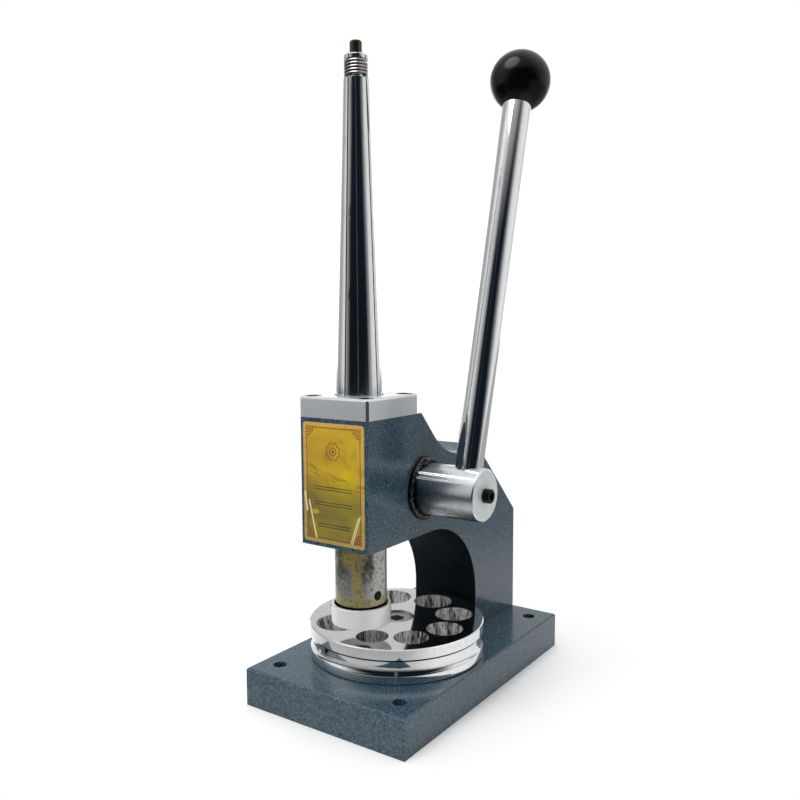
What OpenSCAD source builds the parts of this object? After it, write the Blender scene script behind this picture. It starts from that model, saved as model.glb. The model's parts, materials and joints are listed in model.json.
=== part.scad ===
// Bench ring stretcher and reducer.
// A cast C-shaped arm stands on a flat base plate. A side lever turns a pinion,
// which drives a round rack ram down through the head of the arm. The ram pulls
// a double wedge core down inside a split tapered mandrel, which opens the
// mandrel, and it presses rings into a turning wheel of tapered dies.
// Origin: middle of the bench bolt pattern, on the underside of the base.
// +X is the lever side, -Y is the front, +Z is up. Millimetres.

/* [Base plate] */
// Width of the base plate, side to side
base_w = 105; // [101:1:125]
// Depth of the base plate, front to back
base_d = 172; // [166:1:186]
// Thickness of the base plate
base_t = 21; // [19:1:26]
// Bevel along the top edges of the base plate
base_bevel = 0.8; // [0.4:0.2:2]
// Distance of the bench bolt holes from the side edges
bolt_inset_x = 12.25; // [10:0.25:14]
// Distance of the bench bolt holes from the front and back edges
bolt_inset_y = 13.75; // [11:0.25:15]
// Diameter of the bench bolt holes
bolt_hole_d = 7.5; // [5:0.5:9]

/* [Arm] */
// Width of the arm and of its head
arm_w = 44; // [43:1:50]
// Clearance between the die wheel and the column
column_gap = 3; // [2:0.5:6]
// Height of the throat, from the base to the underside of the head
throat_h = 71.5; // [66:0.5:80]
// Height of the head
head_h = 67.5; // [62:0.5:75]
// Distance of the head's front face behind the front edge of the base
head_setback = 13.5; // [10:0.5:17]
// Length of the head's flat top, front to back
head_top_l = 48.5; // [47:0.5:52]
// Radius of the arch between the column and the head
arch_r = 48.5; // [40:0.5:50]
// Radius of the saddle behind the head
saddle_r = 44; // [40:0.5:48]
// Depth of the saddle below the top of the head
saddle_drop = 28; // [24:0.5:31]
// Distance of the saddle's lowest point behind the mandrel
saddle_back = 71.5; // [68:0.5:75]
// Height of the sloping shoulder's foot above the base, at the back
shoulder_h = 65.5; // [58:0.5:70]
// Thickness of the web that closes the ram's bore at the top of the head
web_t = 10; // [8:0.5:13]
// Distance of the column screws from the column's faces
column_screw_inset = 9.5; // [8.5:0.5:11]
// Depth of the column screws' thread in the column
column_thread_l = 25; // [16:1:32]

/* [Label plate] */
// Distance of the label plate from the sides of the head
label_side = 2; // [1:0.25:6]
// Distance of the label plate from the top and bottom of the head
label_end = 2.25; // [1:0.25:8]
// Thickness of the label plate
label_t = 0.5; // [0.4:0.1:1.2]
// Corner radius of the label plate
label_r = 1.6; // [0.8:0.2:4]

/* [Mandrel block] */
// Height of the square block that holds the mandrel's feet
block_h = 11; // [10:0.5:14]
// Thickness of the block's lip over the mandrel's feet
block_lip = 5; // [4:0.5:6]
// Overhang of the block past the sides of the head
block_overhang = 0.5; // [0:0.1:1]
// Bevel along the block's edges
block_bevel = 1.2; // [0.4:0.2:1.4]
// Distance of the block screws from the block's sides
block_screw_inset = 5.5; // [5:0.25:5.75]
// Depth of the block screws' thread in the head
block_thread_l = 12; // [9:0.5:14]

/* [Split mandrel] */
// Diameter of the mandrel at its foot
mandrel_foot_d = 24.2; // [23:0.2:25]
// Diameter of the mandrel at its top
mandrel_top_d = 11.9; // [11.6:0.1:13]
// Height of the mandrel above the block
mandrel_h = 173.4; // [160:0.2:185]
// Width of the four slits
slit_w = 0.7; // [0.4:0.1:1]
// Width of the step round the feet inside the block
foot_step = 3.9; // [3:0.1:4.1]
// Bevel round the mandrel's top
mandrel_bevel = 0.6; // [0.2:0.1:1]
// Distance of the retaining coil below the mandrel's top
coil_drop = 2.7; // [2.5:0.1:6]
// Wire diameter of the retaining coil
coil_wire = 1.45; // [1:0.05:1.5]
// Turns of the retaining coil
coil_turns = 6; // [3:1:7]

/* [Wedge core] */
// Diameter of the core rod
core_d = 6.3; // [5.6:0.1:6.6]
// Height of the core rod's end above the mandrel
core_above = 7; // [4:0.5:12]
// Length of each wedge
wedge_l = 24; // [18:1:26]
// Length over which a wedge grows by one unit of radius
wedge_run = 12; // [11:0.5:16]
// Height of the lower wedge's thin end above the block
lower_wedge_h = 9; // [9:0.5:20]
// Height of the upper wedge's thin end above the block
upper_wedge_h = 124; // [100:1:128]
// Depth of the core's thread in the ram
core_thread_l = 18; // [14:1:22]

/* [Ram and presser] */
// Diameter of the ram
ram_d = 27.8; // [26:0.2:28.2]
// Clear height between the presser and the die wheel when raised
press_gap = 8; // [5:0.1:9]
// Wall of the presser collar round the ram
presser_wall = 2.25; // [1.6:0.05:4]
// Height of the presser collar
presser_h = 10.5; // [10:0.5:14]
// Thickness of the presser's floor under the ram
presser_floor = 4.5; // [4:0.5:5.5]
// Width of the dark gap between the ram and the presser's rim
presser_moat = 0.8; // [0.4:0.1:1]
// Depth of that gap
presser_moat_h = 2.5; // [1:0.5:4]
// Depth of the presser screw's thread in the ram
presser_thread_l = 6; // [4:0.5:6]
// Diameter of the tommy bar hole through the ram
tommy_d = 5.1; // [4:0.1:5.6]
// Height of the tommy bar hole above the presser's rim
tommy_h = 6.3; // [6:0.1:12]
// Direction of the tommy bar hole, from the front towards the lever
tommy_angle = 77.5; // [0:0.5:85]

/* [Pinion and rack] */
// Module of the teeth
tooth_module = 1.25; // [1:0.05:1.3]
// Teeth on the pinion
pinion_teeth = 28; // [24:1:28]
// Width of the pinion's teeth
pinion_w = 18; // [15:0.5:19]
// Play between the teeth, along the pitch line
backlash = 0.12; // [0.06:0.02:0.2]
// Height of the pinion's axis above the underside of the head
pinion_h = 25.6; // [24:0.2:29]
// Diameter of the hub outside the head
hub_d = 28.4; // [26:0.2:29]
// Length of the hub outside the head
hub_l = 37.4; // [33:0.2:42]
// Bevel at the hub's end
hub_bevel = 0.8; // [0.4:0.2:1.6]
// Diameter of the shaft's left journal
journal_d = 18; // [15:0.5:19]
// Wall of the bush on the lever side
bush_wall = 2.2; // [1.6:0.1:2.6]
// Width of that bush's collar on the outside of the arm
bush_collar_w = 1; // [0.6:0.1:2]
// Thickness of that collar
bush_collar_t = 1.6; // [1:0.1:2.4]
// Diameter of the washer on the shaft's left end
shaft_washer_d = 26; // [22:0.5:32]
// Thickness of the washer on the shaft's left end
shaft_washer_t = 2; // [1:0.5:3]
// Depth of the shaft screw's thread in the shaft
shaft_thread_l = 12; // [8:0.5:16]

/* [Lever] */
// Distance of the lever's axis from the hub's end
lever_inset = 11.9; // [10.5:0.1:13]
// Lean of the raised lever towards the back
lever_lean = 14.9; // [5:0.5:20]
// Distance from the pinion's axis to the middle of the ball
lever_l = 234; // [200:1:260]
// Diameter of the lever rod at the hub
rod_foot_d = 15; // [13:0.2:16]
// Diameter of the lever rod at the ball
rod_top_d = 16.2; // [14:0.2:18]
// Diameter of the rod's spigot in the hub
spigot_d = 12; // [10:0.2:12.4]
// Length of the spigot below the shaft's axis
spigot_reach = 5; // [3:0.5:8]
// Depth of the rod's seat below the top of the hub
rod_seat = 2; // [1.6:0.1:3]
// Diameter of the ball knob
ball_d = 34; // [30:0.5:38]
// Thread diameter of the lock screw in the hub's end
lock_screw_d = 4.8; // [4:0.2:5.6]
// Height of the lock screw's head outside the hub's end
lock_head_out = 3.8; // [2:0.2:4]

/* [Die wheel] */
// Wall outside the largest die at the wheel's rim
rim_wall = 3.2; // [1.9:0.05:3.6]
// Thickness of the die wheel
wheel_t = 18.8; // [17.6:0.1:22]
// Height of the plain rim above the groove
rim_h = 5.6; // [4.6:0.1:6.6]
// Height of the wheel's foot flange
flange_h = 4.1; // [3.2:0.1:5]
// Depth of the waist between the rim and the flange
waist_depth = 1.2; // [0.6:0.1:1.4]
// Height of the hollow that runs out from the waist to the flange
hollow_h = 5; // [3:0.1:6]
// Width of the groove under the rim
groove_w = 0.6; // [0.4:0.1:1]
// Depth of the groove under the rim
groove_depth = 0.4; // [0.2:0.1:0.6]
// Bevel at the wheel's outer edges
wheel_bevel = 0.5; // [0.2:0.1:0.8]
// Radius of the circle of dies, which is also the ram's distance from the pivot
die_circle_r = 33.2; // [32.8:0.1:34.2]
// Number of dies
die_count = 8; // [5:1:8]
// Mouth diameter of the smallest die
die_first_d = 17.8; // [16:0.1:17.8]
// Growth of the mouth from one die to the next
die_step = 1.3; // [1.1:0.05:1.3]
// Wall between neighbouring dies
die_wall = 2.6; // [2:0.1:3.2]
// Narrowing of each die's radius down to its lower end
die_taper = 3.2; // [1:0.1:4]
// Direction of the smallest die at rest, about the pivot
die_start = -78.4; // [-90:0.2:-70]
// Diameter of the small blind hole in the waist
waist_hole_d = 2.3; // [1.5:0.1:3]
// Depth of the small blind hole in the waist
waist_hole_l = 3; // [2:0.5:4]

/* [Wheel pivot] */
// Diameter of the pivot bolt's shoulder
pivot_d = 16; // [14:0.5:17]
// Width of the step under the pivot bolt's head
pivot_head_step = 1.6; // [1:0.1:2.4]
// Height of the pivot bolt's head
pivot_head_h = 5; // [4:0.5:6]
// Depth of the pivot bolt's head below the top of the wheel
pivot_sink = 1; // [0.6:0.1:2]
// Diameter of the pivot bolt's thread
pivot_thread_d = 10; // [8:0.5:12]
// Depth of the pivot bolt's thread in the base
pivot_thread_l = 14; // [10:1:16]
// Wall of the wheel's bush
wheel_bush_wall = 1.6; // [1:0.1:2]
// Diameter of the thrust washer
washer_d = 28; // [24:0.5:29]
// Thickness of the thrust washer
washer_t = 1.2; // [0.8:0.1:1.6]
// Metal between the thrust washer and the index ball's hole
index_wall = 1; // [0.8:0.1:1.4]
// Diameter of the index ball
ball_index_d = 5; // [4:0.25:5.5]
// Depth of the index dimples
dimple_depth = 0.8; // [0.4:0.1:1]

/* [Fasteners] */
// Thread diameter of the column screws
column_screw_d = 8; // [6:0.5:8.5]
// Thread diameter of the block screws
block_screw_d = 5; // [4:0.5:5]
// Thread diameter of the presser screw and of the shaft screw
small_screw_d = 6; // [5:0.5:6.5]

/* [Clearances] */
// Radial play of the ram, the shaft and the wheel in their bores
running_play = 0.06; // [0.03:0.01:0.09]
// Gap between faces that pass each other freely
free_gap = 0.3; // [0.25:0.05:0.4]
// Radial play of the screws in their holes
thread_play = 0.05; // [0.02:0.01:0.1]
// Radial play of heads, washers and shanks in plain holes
head_play = 0.4; // [0.2:0.05:0.6]
// Depth of a threaded hole past the end of its screw
thread_runout = 1; // [0.5:0.5:2]

/* [Hidden] */

$fn = 96;
// Overshoot of a cut past the face it opens
cut = 1;
pressure_angle = 20;

enamel = [0.36, 0.43, 0.48];
bright_steel = [0.78, 0.79, 0.80];
ground_steel = [0.66, 0.64, 0.58];
dark_steel = [0.20, 0.20, 0.21];
bronze = [0.66, 0.50, 0.28];
foil = [0.83, 0.66, 0.30];
black_plastic = [0.03, 0.03, 0.035];

// Places along the frame
bolt_x = base_w / 2 - bolt_inset_x;
bolt_y = base_d / 2 - bolt_inset_y;
arm_rear = base_d / 2;
head_under = base_t + throat_h;
head_top = head_under + head_h;
head_front = head_setback - base_d / 2;
head_rear = head_front + head_top_l;
web_under = head_top - web_t;
ram_y = head_front + arm_w / 2;
ram_r = ram_d / 2;
wheel_y = ram_y + die_circle_r;
wheel_r = die_circle_r + die_d(die_count - 1) / 2 + rim_wall;
column_front = wheel_y + wheel_r + column_gap;
column_mid = (arm_rear + column_front) / 2;
column_screw_dx = arm_w - 2 * column_screw_inset;
column_screw_dy = arm_rear - column_front - 2 * column_screw_inset;
label_w = arm_w - 2 * label_side;
label_h = head_h - 2 * label_end;
block_top = head_top + block_h;
block_w = arm_w + 2 * block_overhang;
block_screw_xy = block_w / 2 - block_screw_inset;

// Arch under the head and saddle behind it
arch_y = column_front - arch_r;
arch_z = head_under - arch_r;
saddle_y = ram_y + saddle_back;
saddle_z = head_top - saddle_drop + saddle_r;
// The slope leaves the head's rear corner and runs into the saddle without a corner
slope_dy = head_rear - saddle_y;
slope_dz = head_top - saddle_z;
slope_angle = atan2(slope_dz, slope_dy) + 360 + acos(saddle_r / norm([slope_dy, slope_dz]));
slope_foot = [saddle_y + saddle_r * cos(slope_angle), saddle_z + saddle_r * sin(slope_angle)];
// The shoulder falls at 45 degrees from the crest to the back of the column
shoulder_z = base_t + shoulder_h;
crest_off = (saddle_y + saddle_z - arm_rear - shoulder_z) / 2;
crest_run = sqrt(saddle_r * saddle_r / 2 - crest_off * crest_off);
crest = [saddle_y - crest_off + crest_run, saddle_z - crest_off - crest_run];

// Pinion and rack
pitch_r = tooth_module * pinion_teeth / 2;
tip_r = pitch_r + tooth_module;
root_r = pitch_r - 1.25 * tooth_module;
base_r = pitch_r * cos(pressure_angle);
tooth_pitch = PI * tooth_module;
pinion_y = ram_y + ram_r - tooth_module + pitch_r;
pinion_z = head_under + pinion_h;
pinion_bore_r = tip_r + 0.25;
rack_root_y = ram_y + ram_r - 2.25 * tooth_module;
stroke = press_gap - free_gap;
// Half the height of the stretch of ram that the pinion's tips reach into
reach_z = sqrt(tip_r * tip_r - (pinion_y - ram_y - ram_r) * (pinion_y - ram_y - ram_r));
gaps_below = ceil(reach_z / tooth_pitch);
gaps_above = ceil((reach_z + stroke) / tooth_pitch);
side_x = arm_w / 2;
hub_r = hub_d / 2;
hub_end = side_x + hub_l;
journal_r = journal_d / 2;
right_bush_r = hub_r + bush_wall;
cavity_x = pinion_w / 2 + free_gap;

// Lever
lever_x = hub_end - lever_inset;
seat_l = hub_r - rod_seat;
spigot_l = hub_r + spigot_reach;
ball_r = ball_d / 2;
ball_flat = sqrt(ball_r * ball_r - rod_top_d * rod_top_d / 4);
knob_thread_d = 10;
knob_thread_l = 16;

// Die wheel and its pivot
wheel_z = base_t + free_gap;
wheel_top = wheel_z + wheel_t;
waist_low = wheel_z + flange_h;
waist_high = wheel_top - rim_h;
neck_r = wheel_r - waist_depth;
hollow_r = (hollow_h * hollow_h + waist_depth * waist_depth) / (2 * waist_depth);
pivot_r = pivot_d / 2;
wheel_bush_r = pivot_r + wheel_bush_wall;
pivot_head_r = pivot_r + pivot_head_step;
pivot_head_z = wheel_top - pivot_sink - pivot_head_h;
recess_r = pivot_head_r + head_play;
recess_z = pivot_head_z - free_gap;
washer_r = washer_d / 2;
washer_z = base_t + washer_t;
index_ball_r = ball_index_d / 2;
index_ball_z = wheel_z - running_play - index_ball_r;
index_hole_r = index_ball_r + running_play;
index_r = washer_r + head_play + index_wall + index_hole_r;
index_spring_foot = 7;
index_spring_wire = 0.5;
function die_d(k) = die_first_d + k * die_step;
function die_chord(k) = (die_d(k) + die_d(k + 1)) / 2 + die_wall;
function die_angle(k) = k == 0 ? die_start
    : die_angle(k - 1) + 2 * asin(die_chord(k - 1) / (2 * die_circle_r));

// Presser and ram
presser_z = wheel_top + press_gap;
presser_top = presser_z + presser_h;
ram_foot = presser_z + presser_floor;
ram_top = web_under - free_gap;
tommy_z = presser_top + tommy_h;
presser_head_h = 3;

// Mandrel, core and their travel
open_travel = stroke / wedge_run;
core_r = core_d / 2;
bore_r = core_r + 0.35;
foot_r = mandrel_foot_d / 2;
top_r = mandrel_top_d / 2;
mandrel_top = block_top + mandrel_h;
function mandrel_r(z) = foot_r + (top_r - foot_r) * (z - block_top) / mandrel_h;
feet_r = foot_r + foot_step;
feet_z = head_top + free_gap;
lip_z = block_top - block_lip;
feet_top = lip_z - free_gap;
block_hole_r = foot_r + open_travel + free_gap;
block_recess_r = feet_r + open_travel + free_gap;
coil_pitch = coil_wire + 0.1;
coil_l = (coil_turns - 1) * coil_pitch + coil_wire;
coil_top = mandrel_top - coil_drop;
coil_foot = coil_top - coil_l;
coil_mean_r = mandrel_r((coil_top + coil_foot) / 2) - coil_wire / 2;
groove_r = coil_mean_r - coil_wire / 2 - thread_play;
wedge_ease = open_travel + 0.04;
nut_h = 5;
nut_r = 5.5;
nut_sink = 0.5;

// ---------- helpers ----------

// A bar with its profile in the YZ plane, from x = from to x = to
module along_x(from, to) {
    translate([from, 0, 0]) rotate([90, 0, 90]) linear_extrude(height = to - from) children();
}

// A round bar along X
module round_x(from, to, r) {
    translate([from, 0, 0]) rotate([0, 90, 0]) cylinder(h = to - from, r = r);
}

// A rectangle with its upper corners bevelled
module bevelled_front(w, h, bevel) {
    polygon([[-w / 2, 0], [w / 2, 0], [w / 2, h - bevel], [w / 2 - bevel, h],
        [bevel - w / 2, h], [-w / 2, h - bevel]]);
}

// A plate whose upper edges are bevelled
module bevelled_plate(w, d, h, bevel) {
    intersection() {
        translate([0, d / 2, 0]) rotate([90, 0, 0]) linear_extrude(height = d) bevelled_front(w, h, bevel);
        along_x(-w / 2, w / 2) bevelled_front(d, h, bevel);
    }
}

// A square with all four corners bevelled
module bevelled_square(w, bevel) {
    s = w / 2;
    t = s - bevel;
    polygon([[s, -t], [s, t], [t, s], [-t, s], [-s, t], [-s, -t], [-t, -s], [t, -s]]);
}

// A round bar on Z with bevelled ends
module bevelled_bar(r, h, low, high) {
    rotate_extrude() polygon([[0, 0], [r - low, 0], [r, low], [r, h - high], [r - high, h], [0, h]]);
}

// A cap screw with a hexagon socket: its head stands on z = 0 and its thread hangs below
module cap_screw(d, l) {
    head_r = 0.8 * d;
    difference() {
        union() {
            bevelled_bar(head_r, d, 0, 0.08 * d);
            translate([0, 0, -l]) bevelled_bar(d / 2, l + 0.2, 0.1 * d, 0);
        }
        translate([0, 0, 0.45 * d]) cylinder(h = d, r = 0.46 * d, $fn = 6);
    }
}

// A set screw with a hexagon socket in its lower end
module set_screw(d, l) {
    difference() {
        bevelled_bar(d / 2, l, 0.08 * d, 0.08 * d);
        translate([0, 0, -cut]) cylinder(h = cut + 0.45 * l, r = 0.29 * d, $fn = 6);
    }
}

// A coil of round wire that climbs from z = 0
module wire_coil(mean_r, wire_d, pitch, turns, steps, sides) {
    n = turns * steps;
    rings = [for (i = [0:n], j = [0:sides - 1])
        let (a = i * 360 / steps, b = j * 360 / sides, r = mean_r + wire_d / 2 * cos(b))
        [r * cos(a), r * sin(a), i * pitch / steps + wire_d / 2 * (1 + sin(b))]];
    walls = [for (i = [0:n - 1], j = [0:sides - 1])
        let (k = (j + 1) % sides)
        [i * sides + j, i * sides + k, (i + 1) * sides + k, (i + 1) * sides + j]];
    first = [for (j = [sides - 1:-1:0]) j];
    last = [for (j = [0:sides - 1]) n * sides + j];
    polyhedron(points = rings, faces = concat(walls, [first, last]), convexity = 8);
}

// ---------- frame ----------

module column_screw_places() {
    for (x = [-0.5, 0.5], y = [-0.5, 0.5])
        translate([x * column_screw_dx, column_mid + y * column_screw_dy, 0]) children();
}

module block_screw_places() {
    for (x = [-1, 1], y = [-1, 1])
        translate([x * block_screw_xy, ram_y + y * block_screw_xy, 0]) children();
}

column_head_z = column_screw_d + 1;
block_head_z = block_top - block_screw_d - 0.5;

module base_plate() {
    color(enamel) difference() {
        bevelled_plate(base_w, base_d, base_t, base_bevel);
        for (x = [-1, 1], y = [-1, 1])
            translate([x * bolt_x, y * bolt_y, -cut]) cylinder(h = base_t + 2 * cut, d = bolt_hole_d);
        column_screw_places() {
            translate([0, 0, -cut]) cylinder(h = base_t + 2 * cut, r = column_screw_d / 2 + head_play);
            translate([0, 0, -cut]) cylinder(h = column_head_z + cut, r = 0.8 * column_screw_d + head_play);
        }
        translate([0, wheel_y, base_t - pivot_thread_l - thread_runout])
            cylinder(h = pivot_thread_l + thread_runout + cut, r = pivot_thread_d / 2 + thread_play);
        translate([0, wheel_y - index_r, -cut]) cylinder(h = base_t + 2 * cut, r = index_hole_r);
    }
}

module arm_outline() {
    difference() {
        polygon([[head_front, head_under], [head_front, head_top], [head_rear, head_top], slope_foot,
            crest, [arm_rear, shoulder_z], [arm_rear, base_t], [column_front, base_t],
            [column_front, arch_z], [arch_y, head_under]]);
        translate([saddle_y, saddle_z]) circle(r = saddle_r);
        translate([arch_y, arch_z]) circle(r = arch_r);
    }
}

module frame_arm() {
    color(enamel) difference() {
        along_x(-side_x, side_x) arm_outline();
        // Bore of the ram, open below
        translate([0, ram_y, head_under - cut])
            cylinder(h = web_under - head_under + cut, r = ram_r + running_play);
        // Hole of the core through the web
        translate([0, ram_y, web_under - cut]) cylinder(h = web_t + 2 * cut, r = bore_r);
        // Chamber of the pinion, open on the left side, and seat of the bush on the lever side
        translate([0, pinion_y, pinion_z]) {
            round_x(-side_x - cut, cavity_x, pinion_bore_r);
            round_x(0, side_x + cut, right_bush_r);
        }
        column_screw_places() translate([0, 0, base_t - cut])
            cylinder(h = column_thread_l + cut + thread_runout, r = column_screw_d / 2 + thread_play);
        block_screw_places() translate([0, 0, head_top - block_thread_l - thread_runout])
            cylinder(h = block_thread_l + thread_runout + cut, r = block_screw_d / 2 + thread_play);
    }
}

module column_screws() {
    color(dark_steel) column_screw_places() translate([0, 0, column_head_z]) rotate([180, 0, 0])
        cap_screw(column_screw_d, base_t - column_head_z + column_thread_l);
}

module label_plate() {
    color(foil) translate([0, head_front, (head_under + head_top) / 2]) rotate([90, 0, 0])
        linear_extrude(height = label_t) union() {
            square([label_w - 2 * label_r, label_h], center = true);
            square([label_w, label_h - 2 * label_r], center = true);
            for (x = [-1, 1], y = [-1, 1])
                translate([x * (label_w / 2 - label_r), y * (label_h / 2 - label_r)]) circle(r = label_r);
        }
}

module mandrel_block() {
    color(bright_steel) translate([0, ram_y, head_top]) difference() {
        intersection() {
            bevelled_plate(block_w, block_w, block_h, block_bevel);
            linear_extrude(height = block_h) bevelled_square(block_w, block_bevel);
        }
        translate([0, 0, -cut]) cylinder(h = lip_z - head_top + cut, r = block_recess_r);
        cylinder(h = block_h + cut, r = block_hole_r);
        for (x = [-1, 1], y = [-1, 1]) translate([x * block_screw_xy, y * block_screw_xy, 0]) {
            translate([0, 0, -cut]) cylinder(h = block_h, r = block_screw_d / 2 + head_play);
            translate([0, 0, block_head_z - head_top])
                cylinder(h = block_h, r = 0.8 * block_screw_d + head_play);
        }
    }
}

module block_screws() {
    color(dark_steel) block_screw_places() translate([0, 0, block_head_z])
        cap_screw(block_screw_d, block_head_z - head_top + block_thread_l);
}

module shaft_bush_right() {
    color(dark_steel) translate([0, pinion_y, pinion_z]) difference() {
        union() {
            round_x(cavity_x, side_x + cut, right_bush_r);
            round_x(side_x, side_x + bush_collar_t, right_bush_r + bush_collar_w);
        }
        round_x(cavity_x - cut, side_x + bush_collar_t + cut, hub_r + running_play);
    }
}

module shaft_bush_left() {
    color(bronze) translate([0, pinion_y, pinion_z]) difference() {
        round_x(-side_x, -cavity_x, pinion_bore_r);
        round_x(-side_x - cut, cut - cavity_x, journal_r + running_play);
    }
}

module wheel_pivot_bolt() {
    color(ground_steel) translate([0, wheel_y, 0]) difference() {
        union() {
            translate([0, 0, base_t - pivot_thread_l])
                bevelled_bar(pivot_thread_d / 2, pivot_thread_l + 1, 1, 0);
            translate([0, 0, base_t]) cylinder(h = pivot_head_z - base_t + 1, r = pivot_r);
            translate([0, 0, pivot_head_z]) bevelled_bar(pivot_head_r, pivot_head_h, 0, 0.6);
        }
        translate([0, 0, pivot_head_z + 1.5]) cylinder(h = pivot_head_h, r = 4.6, $fn = 6);
    }
}

module thrust_washer() {
    color(bronze) translate([0, wheel_y, base_t]) difference() {
        cylinder(h = washer_t, r = washer_r);
        translate([0, 0, -cut]) cylinder(h = washer_t + 2 * cut, r = pivot_r + head_play);
    }
}

module index_ball() {
    color(bright_steel) translate([0, wheel_y - index_r, index_ball_z]) sphere(r = index_ball_r);
}

module index_spring() {
    turns = 6;
    mean_r = 0.62 * index_ball_r;
    touch = index_ball_z - sqrt(index_ball_r * index_ball_r - mean_r * mean_r);
    room = touch - index_spring_foot - index_spring_wire;
    color(bright_steel) translate([0, wheel_y - index_r, index_spring_foot])
        wire_coil(mean_r, index_spring_wire, (room - 0.2) / turns, turns, 16, 6);
}

module index_screw() {
    color(dark_steel) translate([0, wheel_y - index_r, 1])
        set_screw(2 * index_hole_r - 2 * thread_play, index_spring_foot - 1);
}

// ---------- split mandrel ----------

module retaining_coil() {
    color(bright_steel) translate([0, ram_y, coil_foot])
        wire_coil(coil_mean_r, coil_wire, coil_pitch, coil_turns - 1, 32, 8);
}

// Outer form of the whole mandrel, before it is slit
module mandrel_body() {
    rotate_extrude() difference() {
        polygon([[0, feet_z], [feet_r, feet_z], [feet_r, feet_top], [foot_r, feet_top], [foot_r, block_top],
            [top_r + mandrel_bevel / 4, mandrel_top - mandrel_bevel],
            [top_r - mandrel_bevel, mandrel_top], [0, mandrel_top]]);
        translate([groove_r, coil_foot - thread_play]) square([foot_r, coil_l + 2 * thread_play]);
    }
}

// Room for one wedge, set back so that the wedge bears on the middle of the segment
module wedge_pocket(foot_z) {
    r = core_r + wedge_ease + thread_play;
    translate([-wedge_ease * cos(45), -wedge_ease * sin(45), foot_z]) {
        cylinder(h = wedge_l + free_gap, r1 = r, r2 = r + (wedge_l + free_gap) / wedge_run);
    }
}

module mandrel_segment(turn) {
    color(bright_steel) translate([0, ram_y, 0]) rotate([0, 0, turn]) difference() {
        intersection() {
            mandrel_body();
            translate([slit_w / 2, slit_w / 2, 0]) cube([2 * feet_r, 2 * feet_r, mandrel_top + cut]);
        }
        translate([0, 0, feet_z - cut]) cylinder(h = mandrel_top - feet_z + 2 * cut, r = bore_r);
        wedge_pocket(block_top + lower_wedge_h);
        wedge_pocket(block_top + upper_wedge_h);
    }
}

module mandrel_segment_1() { mandrel_segment(0); }
module mandrel_segment_2() { mandrel_segment(90); }
module mandrel_segment_3() { mandrel_segment(180); }
module mandrel_segment_4() { mandrel_segment(270); }

module wedge_core() {
    wedge_r = core_r + wedge_l / wedge_run;
    lower = block_top + lower_wedge_h;
    upper = block_top + upper_wedge_h;
    end = mandrel_top + core_above;
    foot = ram_top - core_thread_l;
    color(dark_steel) translate([0, ram_y, 0]) rotate_extrude() polygon([
        [0, foot], [core_r - 0.6, foot], [core_r, foot + 0.6],
        [core_r, lower], [wedge_r, lower + wedge_l], [core_r, lower + wedge_l],
        [core_r, upper], [wedge_r, upper + wedge_l], [core_r, upper + wedge_l],
        [core_r, end - 0.7], [core_r - 0.7, end], [0, end]]);
}

// ---------- ram ----------

// One gap between two rack teeth, in the YZ plane
module rack_gap() {
    low_y = rack_root_y;
    high_y = ram_y + ram_r + 1;
    slope = tan(pressure_angle);
    half = tooth_pitch / 4 + backlash / 2;
    low = half - 1.25 * tooth_module * slope;
    high = half + (tooth_module + 1) * slope;
    polygon([[low_y, -low], [high_y, -high], [high_y, high], [low_y, low]]);
}

module rack_ram() {
    color(ground_steel) difference() {
        translate([0, ram_y, ram_foot]) bevelled_bar(ram_r, ram_top - ram_foot, 0.5, 0.8);
        for (i = [-gaps_below:gaps_above])
            translate([0, 0, pinion_z + (i + 0.5) * tooth_pitch]) along_x(-ram_r, ram_r) rack_gap();
        translate([0, ram_y, ram_top - core_thread_l - thread_runout])
            cylinder(h = core_thread_l + thread_runout + cut, r = core_r + thread_play);
        translate([0, ram_y, ram_top - nut_h - nut_sink])
            cylinder(h = nut_h + nut_sink + cut, r = nut_r + head_play);
        translate([0, ram_y, ram_foot - cut])
            cylinder(h = presser_thread_l + 0.5 * thread_runout + cut, r = small_screw_d / 2 + thread_play);
        translate([0, ram_y, tommy_z]) rotate([0, 0, tommy_angle - 90])
            round_x(-ram_d, ram_d, tommy_d / 2);
    }
}

module core_lock_nut() {
    color(dark_steel) translate([0, ram_y, ram_top - nut_h - nut_sink]) difference() {
        cylinder(h = nut_h, r = nut_r, $fn = 6);
        translate([0, 0, -cut]) cylinder(h = nut_h + 2 * cut, r = core_r + thread_play);
    }
}

module presser_collar() {
    presser_r = ram_r + presser_wall;
    moat_r = ram_r + presser_moat;
    edge = 0.4;
    color(bright_steel) translate([0, ram_y, presser_z]) difference() {
        rotate_extrude() polygon([
            [0, 0], [presser_r - edge, 0], [presser_r, edge], [presser_r, presser_h - edge],
            [presser_r - edge, presser_h], [moat_r, presser_h], [moat_r, presser_h - presser_moat_h],
            [ram_r + thread_play, presser_h - presser_moat_h], [ram_r + thread_play, presser_floor],
            [0, presser_floor]]);
        translate([0, 0, -cut]) cylinder(h = presser_floor + 2 * cut, r = small_screw_d / 2 + head_play);
        translate([0, 0, -cut]) cylinder(h = presser_head_h + cut, r = 0.8 * small_screw_d + head_play);
    }
}

module presser_screw() {
    r = small_screw_d / 2;
    color(dark_steel) translate([0, ram_y, presser_z]) difference() {
        union() {
            translate([0, 0, free_gap]) cylinder(h = presser_head_h - free_gap, r = 0.8 * small_screw_d);
            translate([0, 0, presser_head_h - 1])
                bevelled_bar(r, presser_floor - presser_head_h + 1 + presser_thread_l, 0, 0.6);
        }
        translate([0, 0, -cut]) cylinder(h = cut + 0.6 * presser_head_h, r = 0.8 * r, $fn = 6);
    }
}

// ---------- lever ----------

function involute(a) = tan(a) * 180 / PI - a;
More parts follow.
